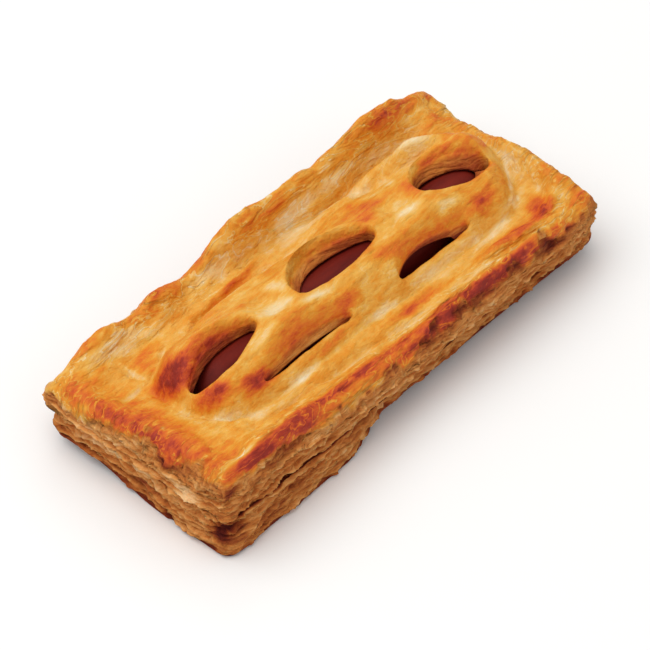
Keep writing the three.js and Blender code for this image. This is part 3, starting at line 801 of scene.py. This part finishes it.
# Ledges, where one fold of dough lies over another: their line in plan, how far they rise to the far side,
# and how far to each side of the line they reach.
LEDGES = [
    ("foot of the far fold", ((-11, 26.8), (3, 27.4), (13, 26.4), (20, 25.0), (37, 25.4)), 2.8, 2.8),
    ("near lip of the closed cut", ((-40, 15.6), (-28, 16.2), (-13, 17.0), (-2, 17.8)), -3.2, 2.8),
    ("far lip of the closed cut", ((-38, 18.0), (-33, 20.0), (-21, 21.0), (-11, 22.2), (0, 22.4)), 1.5, 1.6),
    ("far foot of the dome", ((14, 22.2), (26, 23.0), (38, 22.8), (46, 22.2), (60, 20.0)), -1.2, 1.8),
    ("inner foot of the near ridge",
     ((-58, -22.8), (-44, -21.9), (-26, -22.3), (-11, -23.3), (6, -24.8)), -1.5, 2.0),
    ("skin on the front flange", ((-71, 12.6), (-64, 13.0), (-58, 13.8), (-52, 15.4), (-47, 19.0)), 0.8, 1.4),
    ("inner foot of the back of the ridge", ((34, -27.6), (50, -28.2), (66, -26.6)), -1.2, 1.8),
    ("fold of the ruffle", ((-54, 24.8), (-48, 25.2), (-42, 24.6), (-36, 25.6), (-31, 28.6)), 1.2, 1.6),
    ("second fold of the ruffle", ((-46, 28.4), (-41, 28.6), (-36, 30.0), (-32, 31.4)), 1.0, 1.2),
]
LEDGE_WIDTH = 0.9
LEDGE_FADE = 4


def ledges(x, y):
    """How far the ledges raise or lower the lid's top."""
    total = 0
    for _, line, rise, reach in LEDGES:
        at_x, at_y = zip(*line)
        beyond = y - np.interp(x, at_x, at_y)
        along = ease((x - at_x[0]) / LEDGE_FADE) * ease((at_x[-1] - x) / LEDGE_FADE)
        step = ease(beyond / LEDGE_WIDTH + 0.5) - 0.5
        total = total + rise * step * np.exp(-((beyond / reach) ** 2)) * along
    return total


def crowd_lines(u, v):
    """Crowds the grid lines of the flat lid towards its edges and its rows of slits."""
    u = np.sign(u) * (HALF_LENGTH - crowded(HALF_LENGTH - np.abs(u), EDGE_ROUNDING))
    v = np.sign(v) * (HALF_WIDTH - crowded(HALF_WIDTH - np.abs(v), EDGE_ROUNDING))
    for row in (NEAR_ROW, MIDDLE_ROW):
        v = row + np.sign(v - row) * crowded(np.abs(v - row), LIP_ROUNDING)
    return u, v


def near_corner(x, y):
    """Draws in the near corner at the far end, which has shrunk."""
    share = growing(*CORNER_ALONG, x) * growing(*CORNER_ACROSS, -y)
    return x - CORNER_SHRINKAGE[0] * share, y + CORNER_SHRINKAGE[1] * share


def lid_plan(u, v, w):
    """Where a point of the flat lid lies seen from above; w is 0 on the underside and 1 on top."""
    y = v
    for slit in SLITS:
        away = np.abs(v - slit.row)
        share = share_along(slit.start, slit.end, u)
        start = slit.start + slit.later * (1 - w)
        end = slit.end - slit.sooner * (1 - w)
        far_pull = (slit.far - slit.slant * (1 - w)) * opening(start, end, slit.far_lean, u, away)
        near_pull = slit.near * opening(start, end, slit.near_lean, u, away)
        pull = np.where(away < 1e-4, 0, np.where(v > slit.row, far_pull, -near_pull))
        pull = pull - slit.drift * share * bell(share / DRIFT_SPREAD)
        y = y + pull * (1 - ease(away / STRETCH_REACH))
    x, y = near_corner(*round_corner(u, y))
    return x + growing(*END_PROUD, x), y + growing(*FAR_PROUD, y)


def lid_crown(u, v):
    """Where a point of the flat strip lies on top of the lid, before its lips and edges are rounded, and how
    far its lips drop there."""
    rolled = 0
    lips = 0
    for slit in SLITS:
        away = np.abs(v - slit.row)
        far_side = v > slit.row
        lean = np.where(far_side, slit.far_lean, slit.near_lean)
        open_here = opening(slit.start, slit.end, lean, u, away)
        far_rise = slit.roll * bell((away - STRIP_CREST) / STRIP_REACH)
        near_fall = slit.sink * bell(away / STRIP_REACH)
        rolled = rolled + open_here * np.where(far_side, far_rise, -near_fall)
        far_bend = rounding(away * slit.bend / slit.bend_reach, slit.bend)
        lip = np.where(far_side, far_bend, rounding(away, LIP_ROUNDING))
        lips = lips + lip * ease(LIP_ONSET * open_here)
    x, y = lid_plan(u, v, 1)
    return x, y, lid_height(x, y) + rolled, lips


def underside_lift(u, v):
    """How far the underside of the strips beyond the slits is lifted, so that it is dark below their feet."""
    lifted = 0
    for slit in SLITS:
        open_here = ease(LIFT_ONSET * opening(slit.start, slit.end, 0, u, 0 * u))
        lifted = lifted + slit.lift * open_here * bell((v - slit.row) / STRIP_REACH) * (v > slit.row)
    return lifted


def lid_form(u, v, w):
    """Where a point of the flat strip lies in the lid, and how far its rounded edge has dropped there."""
    x, y, crown, lips = lid_crown(u, v)
    under_x, under_y = lid_plan(u, v, 0)
    seam = seam_height(under_x) + SEAM_GAP / 2
    beyond = np.maximum(np.maximum(DOME_START - under_x, under_x - DOME_END), 0)
    tunnel = 1 - ease((np.hypot(beyond, under_y) - TUNNEL_HALF_WIDTH) / TUNNEL_FLARE)
    roof = lid_height(under_x, under_y) - LID_THICKNESS + underside_lift(u, v)
    roof = seam + np.maximum(roof - seam, 0) * tunnel
    over = trough_depth(under_x, under_y)
    roof = np.where(over > 0, np.maximum(roof, TROUGH_AXIS_HEIGHT + over), roof)
    drop = rounding(edge_distance(u, v), EDGE_ROUNDING)
    top = crown - drop - lips
    return under_x + (x - under_x) * w, under_y + (y - under_y) * w, roof + (top - roof) * w, drop


def convexity(u, v, reach):
    """How far the lid stands above its surroundings within a reach in mm, more on a crest than on a slope."""
    around = 0
    for step_u, step_v in ((reach, 0), (-reach, 0), (0, reach), (0, -reach)):
        near_u = np.clip(u + step_u, -HALF_LENGTH, HALF_LENGTH)
        near_v = np.clip(v + step_v, -HALF_WIDTH, HALF_WIDTH)
        around = around + lid_crown(near_u, near_v)[2] / 4
    return lid_crown(u, v)[2] - around


# The leaves run up over the rounded edge to a wandering line, where the egg wash begins: how far up the edge
# it lies, and how much further on the far side, and less at the front and along the near side.
WASH_LINE = 0.45
WASH_WAVES = [(0.35, (7, 7, 7), 31.0), (0.12, (2, 2, 2), 33.0)]
WASH_BLUR = 0.16
FAR_WASH = (0.5, 6, 16)
FRONT_WASH = (-0.3, 62, 10)
NEAR_WASH = (-0.2, 22, 8)
NEAR_WASH_START = (1, -60, 10)
WASHED_EDGE_STAND = 0.5
HEM_START = 0.2

# The skin of the top: broad puffs, small lumps and wrinkles drawn out along the roll.
RIM_INSIDE = 4
RIM_BLEND = 8
RIM_ROUGHER = 0.4
PUFF_HEIGHT = 0.6
PUFF_SIZE = (14, 8, 30)
LUMP_HEIGHT = 0.26
LUMP_SIZE = (5.0, 3.2, 6)
CRINKLE_DEPTH = 0.5
CRINKLE_SIZE = (14, 2.8, 20)
FINE_LUMPS = [(0.14, (2.2, 1.5, 2), 9.0)]
# On the rims thin skins end one after another, each with a raised lip.
SKIN_WIDTH = 1.9
SKIN_WAVES = [(2.6, (16, 16, 30), 5.0), (0.6, (5, 5, 30), 8.0)]
SKIN_COVER = 0.7
SKIN_COVER_WAVES = [(1.2, (15, 15, 20), 18.0)]
SKIN_HEIGHT = 0.62
SKIN_RISE = 0.22
SKIN_LIP = 0.26
SKIN_LIP_WIDTH = 0.2
# The cut faces show the thin leaves of the dough.
CUT_LEAVES = [(0.18, (9, 9, 1.1), 17.0)]

lid = dough_strip(LID_STEP, LID_RINGS, [slit[:3] for slit in SLITS], CUT_RINGS)
u, v, w = flat_places(lid).T
u, v = crowd_lines(u, v)
x, y, z, drop = lid_form(u, v, w)
place = np.stack([x, y, z], axis=1)
on_side = edge_distance(u, v) < TOUCHING
on_top = w > 1 - TOUCHING
on_cut = (w > TOUCHING) & ~on_top & ~on_side

wash_line = WASH_LINE + waves(place, WASH_WAVES)
wash_line += growing(*FAR_WASH, y) + growing(*FRONT_WASH, -x)
wash_line += growing(*NEAR_WASH, -y) * growing(*NEAR_WASH_START, x)
leafy = np.where(on_side, 1, ease((drop / EDGE_ROUNDING - wash_line) / WASH_BLUR) * on_top)
stand, edge = leaf_relief(place)
out_x, out_y = outward(x, y)

rim = 1 - ease((edge_distance(u, v) - RIM_INSIDE) / RIM_BLEND)
puffs = (PUFF_HEIGHT + RIM_ROUGHER * rim) * grain(place, PUFF_SIZE, 3.0)
lumps = (LUMP_HEIGHT + RIM_ROUGHER * rim) * grain(place, LUMP_SIZE, 14.0)
crinkles = -CRINKLE_DEPTH * np.abs(grain(place, CRINKLE_SIZE, 6.0, 3))
fine = waves(place, FINE_LUMPS)
skin_level = (edge_distance(u, v) + waves(place, SKIN_WAVES)) / SKIN_WIDTH
skin_step = skin_level - np.floor(skin_level)
skin_mask = rim * ease(SKIN_COVER + waves(place, SKIN_COVER_WAVES))
skins = SKIN_HEIGHT * skin_mask * (ease(skin_step / SKIN_RISE) - skin_step)
skin_edge = skin_mask * bell((skin_step - SKIN_LIP) / SKIN_LIP_WIDTH)
creases = patches(x, y, CREASES)
z = z + (puffs + lumps + crinkles + fine + skins + creases + ledges(x, y)) * on_top
stand = stand + WASHED_EDGE_STAND * np.clip(drop / EDGE_ROUNDING, 0, 1) * (1 - leafy) * on_top
y = y + waves(place, CUT_LEAVES) * on_cut
hem = np.maximum(leafy, ease(drop / EDGE_ROUNDING - HEM_START) * on_top)
x = x + out_x * stand * hem
y = y + out_y * stand * hem
move_to(lid, np.stack([x, y, z], axis=1))
risen_lid = make_piece("risen_lid", lid, "pastry_lid", "pastry_lid")

# How dark the lid's top is baked: pale where the dough was stretched thin, brown on ridges and folds. Some
# places are painted highlights on the near strip and the near band, and painted light on the shaded foot and
# inner slope of the far folds. Each place has its middle, half length, half width, turn and amount.
TOP_BAKE_AND_LIGHT = [
    # Front flange and rims
    ("front rim, outer part", -75.5, 2, 5.0, 36, 0, 0.40),
    ("front rim, inner part", -68.5, 2, 6, 30, 0, 0.20),
    ("front corner", -70, -22, 9, 10, 0, 0.16),
    ("brown spot of the front rim", -73, 18, 4, 6, 0, 0.12),
    ("golden patch of the flange", -53, 16, 5, 8, 20, 0.18),
    ("flake line at the dome's foot", -61.6, 5, 10, 0.8, 90, -0.10),
    ("flake line across the flange", -65, 13, 6, 0.9, 0, -0.24),
    ("flake line to the far rim", -58, 18.5, 6.5, 0.9, 98, -0.22),
    ("golden hollow by the front corner", -58, -19, 8, 5, -30, -0.04),
    ("pale spot by the dome's near foot", -50, -18.6, 5, 2.4, -10, -0.18),
    # Near ridge, inner bump and end rim
    ("crest of the near ridge, front", -66, -28, 14, 1.2, 0, -0.28),
    ("crest of the near ridge, next part", -45, -26.0, 12, 1.0, 14, -0.22),
    ("orange slope of the ridge, middle", -8, -27.8, 34, 2.6, 0, 0.36),
    ("orange slope of the ridge, front", -38, -28.4, 26, 2.2, 1, 0.34),
    ("ridge at the front corner", -66, -31, 12, 3.0, 0, 0.30),
    ("outer face of the near ridge, front", -52, -30.8, 32, 2.8, 0, 0.40),
    ("outer face of the near ridge, back", 22, -31.4, 58, 2.8, 0, 0.62),
    ("inner near bump", 52, -24.0, 18, 3.4, -2, 0.36),
    ("inner near bump, end", 64, -20.8, 8, 5.0, 36, 0.42),
    ("pale foot of the inner bump", 34, -26.6, 12, 1.4, -6, -0.14),
    ("near band, orange part", 12, -21.0, 13, 2.4, 0, 0.32),
    ("far end rim", 73, -6, 5, 14, 0, -0.16),
    ("near corner at the far end", 73, -28, 7, 5, 0, 0.18),
    ("far right corner", 75, 28, 4, 5, 0, 0.08),
    # First window and the near slit beside it
    ("dark spot by the first window", -57.5, 6, 7, 9, 10, 0.54),
    ("far strip of the first window", -48, 4, 13, 4.4, 3, 0.22),
    ("top of the first strip", -40, 11, 14, 3.4, 0, 0.04),
    ("near strip of the first window", -56, -8.5, 8, 4.0, -40, 0.42),
    ("near strip, next part", -44, -13.4, 9, 3.0, 0, 0.46),
    ("near strip, middle", -27, -10.0, 12, 2.0, 0, 0.10),
    ("brown end of the near strip", -6, -11.4, 8, 2.6, 0, 0.34),
    # Painted highlight on the near strip.
    ("near strip highlight", -33, -6.5, 8, 1.8, 8, -0.20),
    ("cut face of the near strip", -22, -12.6, 18, 1.4, 0, -0.30),
    ("near band by the near slit", -17, -15.6, 20, 1.8, 0, 0.28),
    # First web
    ("first web, crest", -23, -1.4, 9, 4.2, 0, -0.34),
    ("first web, far part", -17, 4.5, 6, 2.4, -50, -0.22),
    ("first web, near part", -13, -6, 12, 2.6, -6, -0.30),
    ("dome above the first web", -26, 10, 7, 5, 0, -0.04),
    # Closed cut and far side
    ("floor of the closed cut", -17, 21.6, 19, 2.0, 4, 0.26),
    ("strip before the closed cut", -20, 14.4, 20, 2.0, 2, -0.10),
    ("far lip of the closed cut", -20, 22.6, 18, 1.4, 3, -0.08),
    ("far ruffle", -42, 29, 8, 3, 20, -0.02),
    ("ruffle streak", -37, 29.8, 6, 0.9, 20, 0.16),
    ("far left fold", -58, 27.4, 16, 4.0, 5, -0.20),
    ("brown hollow of the flange", -50, 20.6, 8, 3.4, 10, 0.16),
    ("orange edge of the far rim", 4, 33.8, 80, 2.0, 0, 0.26),
    ("valley below the far fold", 14, 23.0, 24, 3.4, -2, -0.14),
    ("valley, back", 30, 19.6, 18, 4.4, -4, -0.14),
    # Painted light on the shaded foot and inner slope of the far folds.
    ("foot of the far folds", 22, 27.4, 50, 2.6, 0, -0.12),
    ("far folds' inner slope", 22, 30.2, 48, 2.2, 0, -0.14),
    ("band along the far middle fold", 4, 28.0, 16, 0.8, 0, 0.22),
    ("far middle fold", -16, 29.0, 18, 3.2, 0, -0.22),
    ("band along the far right fold", 55, 28.8, 14, 1.1, 2, 0.34),
    ("end of the far right fold", 72, 23, 4.4, 6, 0, 0.14),
    # Dome and second window
    ("far lip of the second window", -7, 5.6, 12, 3.0, 0, -0.24),
    ("dome behind the second web", 19, 9, 6, 7, 0, 0.06),
    ("orange spot on the dome", 24, 9, 10, 6, 60, 0.22),
    ("brown end of the second window", 18, 3, 5, 5, 0, 0.20),
    ("orange rim over the second window", -2, 8.6, 12, 1.8, 0, 0.04),
    ("second web, crest", 29, -3.4, 8, 3.2, -10, -0.28),
    ("second web, far part", 37, 11, 8, 2.2, 60, -0.14),
    ("brown end of the last strip", 36, 1.5, 5, 4, 60, 0.26),
    ("second web, near part", 39, -8.4, 10, 2.2, -6, -0.26),
    ("strip under the second window", 2, -8.0, 8, 2.4, 0, -0.10),
    ("brown part of that strip", 13, -8.5, 8, 3.0, -10, 0.22),
    ("strip over the second near slit", 30, -10.6, 10, 1.6, 0, 0.02),
    ("band below the second near slit", 30, -16.4, 18, 1.4, 0, -0.12),
    # Last window and the far end
    ("crest of the last strip", 50, 13.6, 14, 3.6, -24, -0.42),
    ("end of the last strip", 63, 6, 6, 3.0, -50, -0.06),
    ("orange lip of the last strip", 52, 6.6, 10, 1.5, -14, 0.22),
    ("strip under the last window", 49, -12.0, 9, 2.8, 4, 0.36),
    ("band past the last window", 61, -6.0, 4, 2.8, 20, 0.16),
    ("pale streak at the far end", 66.6, -7, 10, 1.2, 48, -0.20),
    ("second pale streak at the far end", 57, -15.4, 14, 1.6, 14, -0.20),
    # Painted highlights on the near band.
    ("near band highlight", -30, -17.6, 9, 1.2, 2, -0.22),
    ("second near band highlight", 2, -16.6, 12, 1.2, -3, -0.22),
    ("near band at the far end", 48, -18.4, 14, 1.4, 4, -0.16),
]
TOP_LEVEL = 0.41
MOTTLE_BAKE = 0.10
MOTTLE_SIZE = (9, 5, 8)
FINE_MOTTLE = [(0.05, (2.6, 2.0, 2), 43.0)]
CREST_BAKE = 0.05
CREST_REACH = 4.5
CREST_PALEST = -0.08
CREST_BROWNEST = 0.12
RIM_BAKE = 0.04
CREASE_BAKE = 0.10
SKIN_EDGE_BAKE = -0.14
# The lips have browned as they bent down. The cut faces are painted darker towards their feet as shade deep
# in the slits, and look leafy there.
LIP_BAKE = 0.18
LIP_DROP = 2.6
CUT_FOOT_SHADE = 0.04
CUT_LEAFY = 0.8
CUT_LEAFY_SHARE = 0.5
# The lid's underside is painted dark as shade below the lid.
UNDERSIDE_SHADE = 0.8
FAR_BELOW = -9
FLAKY_MIDDLE = 0.3
FLAKY_RIM = 0.7
mottle = MOTTLE_BAKE * grain(place, MOTTLE_SIZE, 41.0, 3) + waves(place, FINE_MOTTLE)
crest = np.clip(CREST_BAKE * (1 + rim) * convexity(u, v, CREST_REACH), CREST_PALEST, CREST_BROWNEST)
top_bake = TOP_LEVEL + patches(x, y, TOP_BAKE_AND_LIGHT) + mottle + crest + RIM_BAKE * rim
top_bake += CREASE_BAKE * creases + SKIN_EDGE_BAKE * skin_edge
top_bake += LIP_BAKE * ease(lid_crown(u, v)[3] / LIP_DROP)
# The cut faces darken towards their feet as painted shade.
cut_bake = top_bake + CUT_FOOT_SHADE * (1 - w)
# Leaf edges are paler, and the clefts between them keep a darker tone as painted shade.
side = side_bake(x, y, z, 0 * z + FAR_BELOW) + LEAF_EDGE_BAKE * edge
under = (w < TOUCHING) & ~on_side
leafy_cut = CUT_LEAFY * ease((1 - w) / CUT_LEAFY_SHARE)
share = np.where(on_side | under, 1, np.where(on_cut, leafy_cut, leafy))
bake = np.where(on_cut, cut_bake, np.where(under, UNDERSIDE_SHADE, top_bake * (1 - leafy) + side * leafy))
flaky = (FLAKY_MIDDLE + FLAKY_RIM * rim) * on_top
# The stored value carries painted shade and painted highlights as well as browning.
keep_values(risen_lid, bake=np.clip(bake, 0, 1), leafy=share, flaky=flaky)
risen_lid.data.materials.append(baked_pastry)


# Floor, lights and background. A plain white table, and a large soft light above the front half, leaning to
# the far side. A weak light comes from beyond the far end, and another from the near side.
floor_mesh = bmesh.new()
bmesh.ops.create_grid(floor_mesh, x_segments=1, y_segments=1, size=2.0)
floor_data = bpy.data.meshes.new("floor")
floor_mesh.to_mesh(floor_data)
floor_mesh.free()
floor = bpy.data.objects.new("floor", floor_data)
bpy.context.scene.collection.objects.link(floor)
paint = bpy.data.materials.new("matt white paint")
paint.use_nodes = True
paint.node_tree.nodes["Principled BSDF"].inputs["Base Color"].default_value = linear("#F4F3F1")
paint.node_tree.nodes["Principled BSDF"].inputs["Roughness"].default_value = 0.9
floor.data.materials.append(paint)

world = bpy.data.worlds.new("studio")
world.use_nodes = True
world.node_tree.nodes["Background"].inputs["Color"].default_value = linear("#FFFFFF")
world.node_tree.nodes["Background"].inputs["Strength"].default_value = 0.66
bpy.context.scene.world = world
bpy.context.scene.view_settings.view_transform = "Standard"


def soft_light(name, place, size, power, tone):
    """A square light of size m at place, turned to the roll."""
    light = bpy.data.objects.new(name, bpy.data.lights.new(name, "AREA"))
    light.data.size = size
    light.data.energy = power
    light.data.color = linear(tone)[:3]
    light.location = place
    light.rotation_euler = (Vector((0, 0, 0.015)) - Vector(place)).to_track_quat("-Z", "Y").to_euler()
    bpy.context.scene.collection.objects.link(light)


soft_light("window light", (-0.34, 0.26, 1.04), 1.2, 8.3, "#FFFFFF")
soft_light("back light", (0.60, 0.55, 0.80), 0.5, 0.8, "#FFFFFF")
soft_light("fill light", (-0.1, -0.9, 0.5), 0.8, 0.5, "#FFF6EC")
